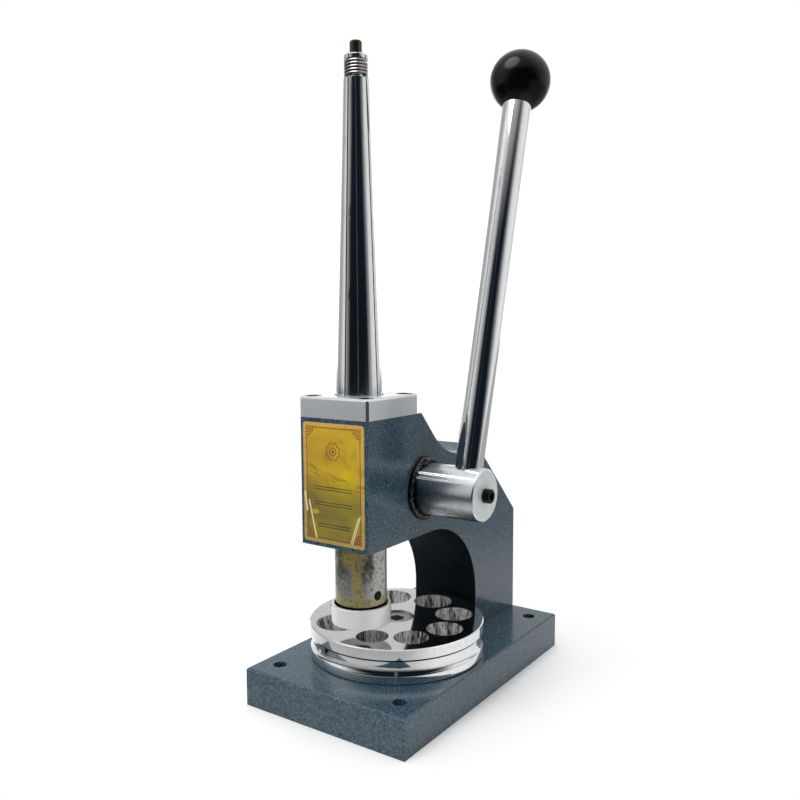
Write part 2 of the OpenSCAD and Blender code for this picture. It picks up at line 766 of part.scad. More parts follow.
// Half the angle that a tooth spans at radius r
function half_tooth(r) = 90 / pinion_teeth + involute(pressure_angle)
    - involute(acos(min(1, base_r / r)));
flank_steps = 5;
flank_radii = [for (i = [0:flank_steps]) base_r + (tip_r - base_r) * i / flank_steps];

module pinion_outline() {
    function spot(r, a) = [r * cos(a), r * sin(a)];
    polygon([for (k = [0:pinion_teeth - 1])
        let (mid = (k + 0.5) * 360 / pinion_teeth, foot = half_tooth(base_r))
        each concat([spot(root_r, mid - foot)],
            [for (r = flank_radii) spot(r, mid - half_tooth(r))],
            [for (i = [flank_steps:-1:0]) spot(flank_radii[i], mid + half_tooth(flank_radii[i]))],
            [spot(root_r, mid + foot)])]);
}

module lever_place() {
    translate([lever_x, pinion_y, pinion_z]) rotate([-lever_lean, 0, 0]) children();
}

shaft_end = -side_x - free_gap;
lock_seat_x = hub_end + lock_head_out - lock_screw_d;

module pinion_shaft() {
    color(bright_steel) difference() {
        translate([0, pinion_y, pinion_z]) {
            along_x(-pinion_w / 2, pinion_w / 2) pinion_outline();
            round_x(shaft_end, 0, journal_r);
            translate([hub_end, 0, 0]) rotate([0, -90, 0])
                bevelled_bar(hub_r, hub_end, hub_bevel, 0);
        }
        // Seat and socket of the lever rod
        lever_place() {
            translate([0, 0, seat_l]) cylinder(h = hub_r, r = rod_foot_d / 2 + thread_play);
            translate([0, 0, seat_l - spigot_l - thread_runout])
                cylinder(h = spigot_l + hub_r, r = spigot_d / 2 + thread_play);
        }
        // Threads of the lock screw and of the shaft screw
        translate([0, pinion_y, pinion_z]) {
            round_x(lever_x, hub_end + cut, lock_screw_d / 2 + thread_play);
            round_x(lock_seat_x, hub_end + cut, 0.8 * lock_screw_d + thread_play);
            round_x(shaft_end - cut, shaft_end + shaft_thread_l + thread_runout,
                small_screw_d / 2 + thread_play);
        }
    }
}

module shaft_washer() {
    color(dark_steel) translate([0, pinion_y, pinion_z]) difference() {
        round_x(shaft_end - shaft_washer_t, shaft_end, shaft_washer_d / 2);
        round_x(shaft_end - shaft_washer_t - cut, shaft_end + cut, small_screw_d / 2 + head_play);
    }
}

module shaft_screw() {
    color(dark_steel) translate([shaft_end - shaft_washer_t, pinion_y, pinion_z]) rotate([0, -90, 0])
        cap_screw(small_screw_d, shaft_washer_t + shaft_thread_l);
}

module lever_rod() {
    top = lever_l - ball_flat;
    color(bright_steel) lever_place() {
        translate([0, 0, seat_l - spigot_l]) bevelled_bar(spigot_d / 2, spigot_l + 1, 0.8, 0);
        translate([0, 0, seat_l]) cylinder(h = top - seat_l, d1 = rod_foot_d, d2 = rod_top_d);
        translate([0, 0, top - 1]) bevelled_bar(knob_thread_d / 2, knob_thread_l + 1, 0, 0.8);
    }
}

module ball_knob() {
    color(black_plastic) lever_place() translate([0, 0, lever_l]) difference() {
        sphere(r = ball_r);
        translate([0, 0, -ball_r - cut]) cylinder(h = ball_r + cut - ball_flat, r = ball_r);
        translate([0, 0, -ball_flat - cut])
            cylinder(h = knob_thread_l + cut + 1, r = knob_thread_d / 2 + thread_play);
    }
}

module lever_lock_screw() {
    from = lever_x + spigot_d / 2;
    color(dark_steel) translate([lock_seat_x, pinion_y, pinion_z]) rotate([0, 90, 0])
        cap_screw(lock_screw_d, lock_seat_x - from - thread_play);
}

// ---------- die wheel ----------

module wheel_section() {
    difference() {
        polygon([[0, wheel_z], [wheel_r - wheel_bevel, wheel_z], [wheel_r, wheel_z + wheel_bevel],
            [wheel_r, wheel_top - wheel_bevel], [wheel_r - wheel_bevel, wheel_top], [0, wheel_top]]);
        // Straight waist, which runs out to the flange in a hollow
        translate([neck_r, waist_low + hollow_h]) square([wheel_r, waist_high - waist_low - hollow_h]);
        intersection() {
            translate([neck_r + hollow_r, waist_low + hollow_h]) circle(r = hollow_r);
            square([wheel_r + cut, waist_low + hollow_h]);
        }
        translate([neck_r - groove_depth, waist_high - groove_w]) square([wheel_r, groove_w]);
    }
}

// One tapered die, with its overshoot at both faces on the same cone
module die_cut(k) {
    over = cut * die_taper / wheel_t;
    translate([0, 0, wheel_z - cut])
        cylinder(h = wheel_t + 2 * cut, r1 = die_d(k) / 2 - die_taper - over, r2 = die_d(k) / 2 + over);
}

module die_wheel() {
    color(bright_steel) translate([0, wheel_y, 0]) difference() {
        rotate_extrude() wheel_section();
        for (k = [0:die_count - 1]) rotate([0, 0, die_angle(k)]) {
            translate([die_circle_r, 0, 0]) die_cut(k);
            translate([index_r, 0, wheel_z - index_ball_r + dimple_depth]) sphere(r = index_ball_r);
        }
        // Recess of the pivot bolt's head, bore of the bush and seat of the washer
        translate([0, 0, recess_z]) cylinder(h = wheel_t, r = recess_r);
        translate([0, 0, wheel_z - cut]) cylinder(h = wheel_t, r = wheel_bush_r);
        translate([0, 0, wheel_z - cut])
            cylinder(h = washer_z + running_play - wheel_z + cut, r = washer_r + head_play);
        rotate([0, 0, die_angle(die_count - 1) + 14])
            translate([neck_r - waist_hole_l, 0, waist_low + hollow_h]) rotate([0, 90, 0])
                cylinder(h = waist_hole_l + waist_depth + cut, d = waist_hole_d);
    }
}

module wheel_bush() {
    foot = washer_z + running_play;
    color(bronze) translate([0, wheel_y, foot]) difference() {
        cylinder(h = recess_z - foot, r = wheel_bush_r);
        translate([0, 0, -cut]) cylinder(h = wheel_t, r = pivot_r + running_play);
    }
}

base_plate();
frame_arm();
column_screws();
label_plate();
mandrel_block();
block_screws();
shaft_bush_right();
shaft_bush_left();
wheel_pivot_bolt();
thrust_washer();
index_ball();
index_spring();
index_screw();
retaining_coil();
pinion_shaft();
shaft_washer();
shaft_screw();
lever_rod();
ball_knob();
lever_lock_screw();
rack_ram();
presser_collar();
presser_screw();
wedge_core();
core_lock_nut();
die_wheel();
wheel_bush();
mandrel_segment_1();
mandrel_segment_2();
mandrel_segment_3();
mandrel_segment_4();
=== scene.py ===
# %% [markdown]
# # A bench ring stretcher in the studio
# The machine opens a ring on a split mandrel and closes it in a wheel of tapered dies.
# The construction is loaded as a fixed frame. Everything below gives it the surfaces of
# the real thing: hammered enamel, chrome, ground and oiled steel, bronze and gold foil.

# %% Load the frame
import json
import math

import bmesh
import bpy
from mathutils import Matrix, Vector, noise

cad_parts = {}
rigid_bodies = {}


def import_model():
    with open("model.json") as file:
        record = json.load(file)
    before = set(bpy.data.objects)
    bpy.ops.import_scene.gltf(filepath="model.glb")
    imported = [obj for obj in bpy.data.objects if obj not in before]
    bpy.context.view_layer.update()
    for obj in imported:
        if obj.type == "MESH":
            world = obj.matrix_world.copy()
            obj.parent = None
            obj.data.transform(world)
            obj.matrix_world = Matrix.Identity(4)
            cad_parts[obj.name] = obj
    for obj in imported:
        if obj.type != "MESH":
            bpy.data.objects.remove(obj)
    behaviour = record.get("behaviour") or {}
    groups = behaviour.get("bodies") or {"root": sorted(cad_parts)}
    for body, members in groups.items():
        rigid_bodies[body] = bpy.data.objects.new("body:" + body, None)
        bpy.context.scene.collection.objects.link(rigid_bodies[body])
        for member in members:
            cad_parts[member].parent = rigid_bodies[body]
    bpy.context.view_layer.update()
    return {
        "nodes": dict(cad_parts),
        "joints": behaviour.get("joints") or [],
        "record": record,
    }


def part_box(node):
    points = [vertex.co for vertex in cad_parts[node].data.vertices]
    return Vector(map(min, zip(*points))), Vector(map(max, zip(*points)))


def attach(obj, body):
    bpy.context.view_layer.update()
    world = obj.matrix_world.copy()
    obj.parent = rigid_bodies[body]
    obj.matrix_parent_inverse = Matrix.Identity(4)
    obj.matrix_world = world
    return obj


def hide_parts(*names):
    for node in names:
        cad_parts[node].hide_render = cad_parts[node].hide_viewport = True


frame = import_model()

MM = 0.001
joints = {joint["name"]: joint for joint in frame["joints"]}

# %% [markdown]
# ## The camera
# The picture is taken from close by, a little above the base and from the right of the
# label. A camera is easiest to think of as a point on a sphere round its aim: two angles,
# a distance, and a small roll. Three unit vectors then make its rotation matrix.

# %% Camera
CAMERA_AIM = Vector((27.61, -52.43, 169.54)) * MM
CAMERA_DISTANCE = 415.44 * MM
CAMERA_AZIMUTH = math.radians(34.87)
CAMERA_ELEVATION = math.radians(5.40)
CAMERA_ROLL = math.radians(-0.31)
# The sensor and the focal length are in millimetres, as on a real camera
SENSOR_WIDTH = 36
FOCAL_LENGTH = 36.79
NEAREST = 20 * MM

backwards = Vector((math.sin(CAMERA_AZIMUTH) * math.cos(CAMERA_ELEVATION),
                    -math.cos(CAMERA_AZIMUTH) * math.cos(CAMERA_ELEVATION),
                    math.sin(CAMERA_ELEVATION)))
level = Vector((math.cos(CAMERA_AZIMUTH), math.sin(CAMERA_AZIMUTH), 0))
upright = backwards.cross(level)
right = level * math.cos(CAMERA_ROLL) + upright * math.sin(CAMERA_ROLL)
up = upright * math.cos(CAMERA_ROLL) - level * math.sin(CAMERA_ROLL)

lens = bpy.data.cameras.new("camera")
lens.sensor_width = SENSOR_WIDTH
lens.lens = FOCAL_LENGTH
lens.clip_start = NEAREST
camera = bpy.data.objects.new("camera", lens)
turn = Matrix((right, up, backwards)).transposed().to_4x4()
camera.matrix_world = Matrix.Translation(CAMERA_AIM + backwards * CAMERA_DISTANCE) @ turn
bpy.context.scene.collection.objects.link(camera)
bpy.context.scene.camera = camera
bpy.context.scene.view_settings.view_transform = "Standard"
print("camera aims at", [round(v, 3) for v in CAMERA_AIM])

# %% [markdown]
# ## Shader maths as Python
# A material is a web of small nodes. Wired by hand in code it is hard to read, so one
# class wraps a socket and gives it arithmetic: `1 - mask * 0.5` adds its Math nodes by
# itself. A second class makes every other node in one call, and a third holds a material.

# %% Wires
class Wire:
    """One socket that takes part in sums."""

    def __init__(self, web, socket):
        self.web, self.socket = web, socket

    def __add__(self, other):
        return self.web.math("ADD", self, other)

    def __sub__(self, other):
        return self.web.math("SUBTRACT", self, other)

    def __rsub__(self, other):
        return self.web.math("SUBTRACT", other, self)

    def __mul__(self, other):
        return self.web.math("MULTIPLY", self, other)

    def __truediv__(self, other):
        return self.web.math("DIVIDE", self, other)

    __radd__, __rmul__ = __add__, __mul__


def colour_of(value):
    """A grey number or three numbers, as the four numbers that a colour socket takes."""
    if isinstance(value, (int, float)):
        return (value, value, value, 1)
    return (*value, 1)


print("a grey of 0.5 becomes", colour_of(0.5))

# %% Webs
class Web:
    """A node tree that is built by calls."""

    def __init__(self, tree):
        self.tree = tree

    def node(self, kind, settings=(), sockets=(), out=0):
        made = self.tree.nodes.new("ShaderNode" + kind)
        for key, value in dict(settings).items():
            setattr(made, key, value)
        for key, value in dict(sockets).items():
            self.feed(made.inputs[key], value)
        return Wire(self, made.outputs[out])

    def feed(self, socket, value):
        if isinstance(value, Wire):
            self.tree.links.new(value.socket, socket)
        elif socket.type == "RGBA":
            socket.default_value = colour_of(value)
        else:
            socket.default_value = value

    def math(self, operation, a, b=0.0):
        return self.node("Math", {"operation": operation}, {0: a, 1: b})

    def apart(self, a, b):
        """How far apart two values are."""
        return self.math("ABSOLUTE", a - b)

    def degrees(self, beside, ahead):
        """The angle of a direction, from ahead towards beside."""
        return self.math("ARCTAN2", beside, ahead) * (180 / math.pi)

    def bearing(self, x, y):
        """The same angle for x and y, where 0 is where the camera stands."""
        ahead = x * math.sin(CAMERA_AZIMUTH) - y * math.cos(CAMERA_AZIMUTH)
        beside = x * math.cos(CAMERA_AZIMUTH) + y * math.sin(CAMERA_AZIMUTH)
        return self.degrees(beside, ahead)

    def limit(self, value, low, high, to_low=0.0, to_high=1.0):
        """A smooth step from to_low to to_high as value goes from low to high."""
        sockets = {"Value": value, 1: low, 2: high, 3: to_low, 4: to_high}
        return self.node("MapRange", {"interpolation_type": "SMOOTHSTEP"}, sockets)

    def blend(self, amount, a, b):
        """Colour a where amount is 0 and colour b where it is 1."""
        return self.node("Mix", {"data_type": "RGBA"}, {0: amount, 6: a, 7: b}, out=2)

    def mix(self, amount, a, b):
        """Shader a where amount is 0 and shader b where it is 1."""
        return self.node("MixShader", {}, {0: amount, 1: a, 2: b})


print("web calls:", [call for call in vars(Web) if not call.startswith("_")])

# %% Paints
class Paint(Web):
    """One material round one Principled shader. Places are in metres on the object."""

    def __init__(self, name, **constants):
        self.material = bpy.data.materials.new(name)
        self.material.use_nodes = True
        super().__init__(self.material.node_tree)
        self.shader = self.tree.nodes["Principled BSDF"]
        self.wear(**constants)
        self.place = self.node("TexCoord", out="Object")

    def wear(self, **sockets):
        """Feeds the shader's sockets, by their names with underscores for spaces."""
        for socket, value in sockets.items():
            self.feed(self.shader.inputs[socket.replace("_", " ")], value)

    def cover(self, amount, shader):
        """Puts another shader over the paint's own where amount is 1."""
        own = Wire(self, self.shader.outputs["BSDF"])
        surface = self.tree.nodes["Material Output"].inputs["Surface"]
        self.feed(surface, self.mix(amount, own, shader))

    def stretch(self, x, y, z):
        """The place on the object, scaled by axis: a large number makes fine lines."""
        return self.node("Mapping", {}, {"Vector": self.place, "Scale": (x, y, z)})

    def axis(self, name):
        return self.node("SeparateXYZ", {}, {0: self.place}, out=name)

    def noise(self, scale, detail=2.0, roughness=0.5, at=None):
        """Noise from 0 to 1, with about scale waves per metre."""
        sockets = {"Vector": at or self.place, "Scale": scale, "Detail": detail,
                   "Roughness": roughness}
        return self.node("TexNoise", {}, sockets)

    def cells(self, scale, feature="F1"):
        """The distance to the middle of the nearest cell, with scale cells per metre."""
        sockets = {"Vector": self.place, "Scale": scale}
        return self.node("TexVoronoi", {"feature": feature}, sockets, "Distance")

    def bump(self, height, depth, strength=1.0):
        """Relief whose height runs from 0 to 1 over depth metres."""
        sockets = {"Height": height, "Distance": depth, "Strength": strength}
        self.wear(Normal=self.node("Bump", {}, sockets))


print("paint calls:", [call for call in vars(Paint) if not call.startswith("_")])

# %% [markdown]
# ## Hammered enamel
# The castings are sprayed with a hammer-effect enamel: a blue-grey coat that dries in
# small dimples, with pale flecks where it is thin. It could be modelled as real dimples,
# but there are tens of thousands, so noise at two scales gives the mottling, and cells of
# about a millimetre give the relief. Inside the arch the same paint is darkened into
# painted shade for the shadow that falls there, and has almost no gloss.

# %% Enamel
SHADE_BLUE = (0.0108, 0.03268, 0.05412)
COAT_BLUE = (0.0216, 0.04988, 0.0738)
GRAIN_BLUE = (0.063, 0.1075, 0.1435)
FLECK_GREY = (0.342, 0.4128, 0.4428)


def enamel(name, cover=1.0, **constants):
    """cover scales the paint's own colour: 1 is the full coat, and a low cover darkens it into
    painted shade.
    """
    def tone(colour):
        return tuple(cover * part for part in colour)

    paint = Paint(name, **constants)
    mottle = paint.noise(30, detail=3)
    grain = paint.noise(1100, detail=2, roughness=0.7)
    deep = paint.blend(mottle, tone(SHADE_BLUE), tone(COAT_BLUE))
    mid = paint.blend(paint.limit(grain, 0.42, 0.58), deep, tone(GRAIN_BLUE))
    flecks = paint.limit(paint.cells(1100), 0.34, 0.08) * paint.limit(grain, 0.48, 0.58)
    paint.wear(Base_Color=paint.blend(flecks * 0.85, mid, tone(FLECK_GREY)))
    paint.wear(Roughness=0.46 - 0.34 * cover + 0.10 * grain)
    paint.bump(grain * 0.5 + paint.cells(700, "SMOOTH_F1") * 0.5, 0.05 * MM, 0.5)
    return paint.material


enamel_coat = enamel("hammered_enamel")
# Painted shade for the inside of the arch: the same enamel, darkened and nearly without gloss
arch_shade_coat = enamel("painted_shade_enamel", 0.12, Specular_IOR_Level=0.08)
print("enamels:", enamel_coat.name, arch_shade_coat.name)

# %% [markdown]
# ## Bright and dark metals
# Nine finishes of steel, a bronze and two of black grease cover most of the machine. Each
# could be built by itself, but they differ only in numbers, so all share one recipe: a
# base colour, a fine grain that follows the tool that cut it, and faint blotches that
# change the gloss. Chrome is the same with hardly any grain. The grain's direction tells
# turning from grinding.

# %% Metals
# A large number along one axis packs the lines of the grain close along that axis
AROUND_Z = (1, 1, 12)
AROUND_X = (12, 1, 1)
ALONG_Z = (8, 8, 0.5)
WORN = 0.82


def metal(name, colour, gloss, grain=(1, 1, 1), depth=0.01, blotch=0.06, mirror=1.0):
    """gloss is the mean roughness, depth the grain's relief in millimetres, blotch how far
    the clouds change the gloss, and mirror how much of the surface is bare metal."""
    paint = Paint(name, Metallic=mirror)
    lines = paint.noise(400, detail=3, at=paint.stretch(*grain))
    clouds = paint.noise(45, detail=3)
    paint.wear(Roughness=gloss + blotch * (clouds - 0.5) + 0.3 * gloss * (lines - 0.5))
    worn = tuple(WORN * part for part in colour)
    shade = paint.limit(lines, 0.3, 0.7) * 0.4 + paint.limit(clouds, 0.4, 0.75) * 0.25
    paint.wear(Base_Color=paint.blend(shade, colour, worn))
    paint.bump(lines, depth * MM)
    return paint.material


chrome = metal("chrome", (0.80, 0.81, 0.82), 0.07, depth=0.002, blotch=0.03)
matt_steel = metal("matt_steel", (0.80, 0.83, 0.83), 0.50, blotch=0.10, mirror=0.5)
polished = metal("polished_steel", (0.74, 0.75, 0.76), 0.11, ALONG_Z, depth=0.006)
ground = metal("ground_steel", (0.68, 0.71, 0.73), 0.30, (1, 10, 10), blotch=0.08, mirror=0.65)
satin = metal("satin_steel", (0.86, 0.87, 0.87), 0.30, (6, 6, 1), blotch=0.10, mirror=0.35)
grey = metal("grey_steel", (0.36, 0.38, 0.33), 0.38, AROUND_Z, depth=0.02, blotch=0.10)
wire_steel = metal("wire_steel", (0.40, 0.38, 0.37), 0.26, depth=0.005, blotch=0.08)
blackened = metal("blackened_steel", (0.016, 0.016, 0.017), 0.34, depth=0.02, blotch=0.12)
greasy = metal("greasy_black", (0.012, 0.012, 0.012), 0.30, AROUND_X, depth=0.10, blotch=0.20)
# Black for grease round the hub, and for painted shade under the wheel's rim
grease_and_shade_black = metal("wet_grease_and_painted_shade", (0.006, 0.006, 0.006), 0.22, depth=0.05, blotch=0.1, mirror=0.0)
oiled = metal("oiled_steel", (0.085, 0.072, 0.050), 0.30, ALONG_Z, depth=0.03, blotch=0.15)
bronze = metal("bronze", (0.46, 0.27, 0.10), 0.30, AROUND_Z, blotch=0.10)
print("materials so far:", len(bpy.data.materials))

# %% [markdown]
# ## The oily ram
# Years of oil have run down the front of the ground steel ram: one amber streak, one dark
# one beside it, a greenish mottle on the left, and a black line where it has gathered on
# the collar. The marks could be painted on a picture. Here the angle round the ram's axis
# and the height place each of them, and noise bends their edges.

# %% Ram steel
RAM_PALE, RAM_GREY = (0.50, 0.50, 0.48), (0.34, 0.34, 0.32)
MOTTLE_GREEN = (0.055, 0.060, 0.035)
AMBER_OIL = (0.31, 0.25, 0.030)
DARK_OIL = (0.040, 0.036, 0.018)
SPOT_BLACK = (0.035, 0.032, 0.02)
TAR_BLACK = (0.004, 0.004, 0.003)


def oily_ram(axis_y, rim):
    """axis_y is where the ram's axis stands, and rim the collar's top in millimetres."""
    paint = Paint("oily_ram")
    height = paint.axis("Z") / MM
    side = paint.degrees(paint.axis("X"), axis_y - paint.axis("Y"))
    rings = paint.noise(500, detail=3, at=paint.stretch(1, 1, 5))
    cloud = paint.noise(120, detail=5, roughness=0.65)
    fine = paint.noise(520, detail=4, roughness=0.75)
    wander = side + 34.0 * (cloud - 0.5)

    def streak(middle, wide, narrow):
        """A mark round middle degrees, that ends at wide and is full inside narrow."""
        return paint.limit(paint.apart(wander, middle), wide, narrow)

    amber = streak(27, 15, 6) * paint.limit(cloud, 0.28, 0.46)
    patch = streak(18, 40, 16) * paint.limit(height, 77, 85)
    foot = paint.limit(height + 9 * (cloud - 0.5), rim + 9, rim + 2)
    oil = paint.math("MAXIMUM", amber, paint.math("MAXIMUM", foot * 0.8, patch))
    dark = streak(50, 17, 8) * paint.limit(height, 66, 80) * paint.limit(cloud, 0.62, 0.5)
    mottle = (paint.limit(side, 26, -8) * paint.limit(height, 60, 76)
              * paint.limit(cloud * 0.6 + fine * 0.4, 0.54, 0.44))
    spots = paint.limit(fine, 0.53, 0.62)
    colour = paint.blend(rings, RAM_PALE, RAM_GREY)
    colour = paint.blend(mottle * 0.85, colour, MOTTLE_GREEN)
    colour = paint.blend(oil * 0.85, colour, AMBER_OIL)
    colour = paint.blend(dark * 0.85, colour, DARK_OIL)
    paint.wear(Base_Color=paint.blend(spots * 0.7, colour, SPOT_BLACK))
    paint.wear(Roughness=0.24 + 0.14 * cloud + 0.2 * spots)
    paint.wear(Metallic=0.9 - 0.45 * oil - 0.3 * spots)
    paint.bump(rings * 0.4 + fine * 0.6, 0.03 * MM)
    tar = paint.node("BsdfDiffuse", {}, {"Color": TAR_BLACK})
    paint.cover(paint.limit(height + 1.2 * (cloud - 0.5), rim + 1.3, rim + 0.8), tar)
    return paint.material


collar_low, collar_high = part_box("presser_collar")
ram_steel = oily_ram((collar_low.y + collar_high.y) / 2, collar_high.z / MM)
print("the oil gathers at", round(collar_high.z / MM, 1), "mm above the bench")

# %% [markdown]
# ## The hub and its grease
# Black grease has come out of the bush and lies thinly over the near end of the hub. It
# darkens the steel there and fades towards the free end. The steel is also darkest in a
# band low on the hub. A film this thin needs no shape of its own: the distance from the
# bush and the height darken the steel.

# %% Hub steel
HUB_PALE, HUB_GREY = (0.74, 0.76, 0.79), (0.58, 0.60, 0.63)
FILM_BLACK = (0.010, 0.011, 0.013)


def greased_hub(root):
    """root is where the hub comes out of its bush."""
    paint = Paint("greased_hub", Metallic=1.0)
    along = (paint.axis("X") - root) / MM
    height = paint.axis("Z") / MM
    lines = paint.noise(400, detail=3, at=paint.stretch(*AROUND_X))
    cloud = paint.noise(160, detail=4, roughness=0.6)
    below = paint.limit(height, 126, 117) * paint.limit(height, 104, 112)
    film = paint.limit(along, 20, 1) * (0.12 + 0.88 * below)
    dabs = paint.limit(along, 3.5, 0.5) * paint.limit(cloud, 0.50, 0.60)
    black = paint.math("MAXIMUM", film * 0.85, dabs)
    steel = paint.blend(paint.limit(lines, 0.3, 0.7) * 0.5, HUB_PALE, HUB_GREY)
    paint.wear(Base_Color=paint.blend(black, steel, FILM_BLACK))
    paint.wear(Roughness=0.22 + 0.10 * cloud)
    paint.bump(lines * 0.5 + cloud * 0.5, 0.01 * MM)
    return paint.material


BUSH_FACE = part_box("shaft_bush_right")[1].x
hub_steel = greased_hub(BUSH_FACE)
print("the hub leaves its bush at x", round(BUSH_FACE / MM, 1), "mm")

# %% [markdown]
# ## The label's foil
# The label is a gold foil with a red printed border. A print could be an image, but lines
# can also be drawn by distance: the material works out how far a point lies inside the
# plate's edge, and a narrow band of that distance is red. Rings and rays cut a fan of
# leaves in each corner, and a rosette and three double rules stand in the middle.

# %% Printing on a plate
class Plate(Paint):
    """A paint with millimetres of its own: u to the right and v up from the middle."""

    def __init__(self, name, low, high):
        super().__init__(name)
        middle, half = (low + high) / 2, (high - low) / 2
        self.u = (self.axis("X") - middle.x) / MM
        self.v = (self.axis("Z") - middle.z) / MM
        self.across = self.math("ABSOLUTE", self.u)
        self.from_side = half.x / MM - self.across
        self.from_end = half.z / MM - self.math("ABSOLUTE", self.v)
        self.inset = self.math("MINIMUM", self.from_side, self.from_end)

    def band(self, distance, middle, width):
        """A soft-edged stripe where distance is near middle."""
        return self.limit(self.apart(distance, middle), width, 0.6 * width)

    def radius(self, a, b):
        return self.math("SQRT", a * a + b * b)

    def border(self):
        """A line inside the edge, which stops short of a fan of leaves in each corner."""
        a, b = self.from_side - 2.0, self.from_end - 2.0
        rays = self.math("SINE", 18 * self.math("ARCTAN2", b, a))
        rings = self.math("SINE", 4.2 * self.radius(a, b))
        leaves = self.limit(rays * 0.8 + rings, -0.45, 0.15) * self.limit(self.inset, 1.7, 2.0)
        line = self.band(self.inset, 2.5, 0.34)
        return line * self.limit(a + b, 6.8, 7.6) + leaves * self.limit(a + b, 7.6, 6.9)

    def rosette(self, height):
        """Eight petals round a ring and a dot."""
        rise = self.v - height
        radius = self.radius(self.u, rise)
        wave = self.math("SINE", 4 * self.math("ARCTAN2", rise, self.u))
        petals = 3.4 + 1.3 * self.math("ABSOLUTE", wave)
        ring = self.band(radius, 2.0, 0.4)
        return self.band(radius, petals, 0.45) + ring + self.limit(radius, 1.1, 0.8)

    def double_rule(self, height, half_length):
        rise = self.v - height
        strokes = self.band(rise, 0.7, 0.3) + self.band(rise, -0.7, 0.3)
        return strokes * self.limit(self.across, half_length, half_length - 0.4)

    def crease(self, u0, v0, u1, v1, width):
        """A narrow line from one point of the plate to another, for a painted highlight along a
        fold.
        """
        length = math.hypot(u1 - u0, v1 - v0)
        du, dv = (u1 - u0) / length, (v1 - v0) / length
        off = (self.u - u0) * dv - (self.v - v0) * du
        run = (self.u - u0) * du + (self.v - v0) * dv
        narrow = self.limit(self.math("ABSOLUTE", off), width, 0.3 * width)
        return narrow * self.limit(self.apart(run, length / 2), length / 2, length / 2 - 0.8)


print("plate calls:", [call for call in vars(Plate) if not call.startswith("_")])

# %% [markdown]
# ## The foil itself
# The foil isn't flat: it has come loose at its lower corners and is creased there, waves
# run over its middle, and the lower half has gone olive. Broad noise blends the two
# halves, finer noise breaks the wrinkles, and four creases get painted highlights, drawn as listed
# lines.

# %% Gold foil
ROSETTE_HEIGHT = 17.0
# Height and half length of each rule in millimetres
RULES = ((-2.5, 12.5), (-10.5, 12.5), (-22.0, 11.0))
# Both ends and the width of each painted highlight along a crease, in millimetres
HIGHLIGHT_CREASES = ((-16.5, -9, -11.5, -29.5, 0.7), (17.5, -14, 12.0, -30, 0.45),
           (16.3, -15, 10.8, -30, 0.35), (-19.2, -5, -17.6, -16, 0.8))
GOLD, PALE_GOLD = (0.70, 0.42, 0.045), (0.86, 0.58, 0.035)
OLIVE, PALE_OLIVE = (0.24, 0.20, 0.060), (0.46, 0.36, 0.050)
EDGE_GOLD, CREASE_HIGHLIGHT_GOLD = (0.92, 0.62, 0.24), (1.0, 0.86, 0.50)
PATCH_YELLOW, FLECK_YELLOW = (0.95, 0.75, 0.015), (0.90, 0.68, 0.05)
FOLD_BROWN, WRINKLE_SHADE_BROWN = (0.20, 0.14, 0.02), (0.16, 0.10, 0.02)
PRINT_RED, PRINT_BLACK = (0.22, 0.020, 0.008), (0.05, 0.035, 0.02)


def bare_foil(plate, waves, folds):
    """The colour of the foil before anything is printed on it."""
    u, v = plate.u, plate.v
    swell = plate.limit(waves, 0.35, 0.62)
    patch = plate.limit(plate.apart(u, 8) + plate.apart(v, 1), 11, 3)
    upper = plate.blend(patch * 0.8, plate.blend(swell, GOLD, PALE_GOLD), PATCH_YELLOW)
    lower = plate.blend(swell, OLIVE, PALE_OLIVE)
    foil = plate.blend(plate.limit(v + 16 * (waves - 0.5), -13, 10), lower, upper)
    foil = plate.blend(plate.limit(plate.inset, 2.3, 1.6) * 0.5, foil, EDGE_GOLD)
    foil = plate.blend(plate.limit(folds, 0.5, 0.75) * 0.35, foil, FOLD_BROWN)
    # The wrinkles are bands of painted shade: darker brown stripes with no relief of their own
    ripple = v + 0.22 * u + 0.5 * plate.math("SINE", 0.55 * u) + 9 * (waves - 0.5)
    wrinkles = plate.band(ripple, 4.6, 1.1) + plate.band(ripple, 2.2, 0.7)
    wrinkles = plate.math("MINIMUM", wrinkles * plate.limit(folds, 0.60, 0.40), 1.0)
    foil = plate.blend(wrinkles * 0.42, foil, WRINKLE_SHADE_BROWN)
    fleck = (u + 11.5) * (u + 11.5) + 5 * (v + 15) * (v + 15) + 50 * (folds - 0.5)
    return plate.blend(plate.limit(fleck, 9, 1) * 0.7, foil, FLECK_YELLOW)


def gold_foil(low, high):
    plate = Plate("gold_foil", low, high)
    waves = plate.noise(34, detail=2, at=plate.stretch(0.6, 1, 1.7))
    folds = plate.noise(160, detail=4, roughness=0.6)
    ink = plate.math("MINIMUM", plate.border() + plate.rosette(ROSETTE_HEIGHT), 1.0)
    rules = sum(plate.double_rule(*rule) for rule in RULES)
    crease_highlights = plate.math("MINIMUM", sum(plate.crease(*ends) for ends in HIGHLIGHT_CREASES), 1.0)
    printed = plate.blend(ink * 0.85, bare_foil(plate, waves, folds), PRINT_RED)
    printed = plate.blend(rules * 0.8, printed, PRINT_BLACK)
    # The creases are painted highlights: bright gold, and less metallic so that the lamps light
    # them
    plate.wear(Base_Color=plate.blend(crease_highlights * 0.8, printed, CREASE_HIGHLIGHT_GOLD))
    plate.wear(Metallic=0.45 - 0.4 * ink - 0.3 * crease_highlights)
    plate.wear(Roughness=0.24 + 0.15 * plate.noise(300) + 0.1 * ink)
    plate.bump(waves * 0.7 + folds * 0.3 + crease_highlights * 0.4, 0.25 * MM, 0.6)
    return plate.material


foil = gold_foil(*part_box("label_plate"))
print("the foil's web has", len(foil.node_tree.nodes), "nodes")

# %% [markdown]
# ## Plastic
# The ball is moulded phenolic, black and glossy, with the faintest orange peel. A plain
# black shader would show a perfect mirror, so noise varies its gloss a little.

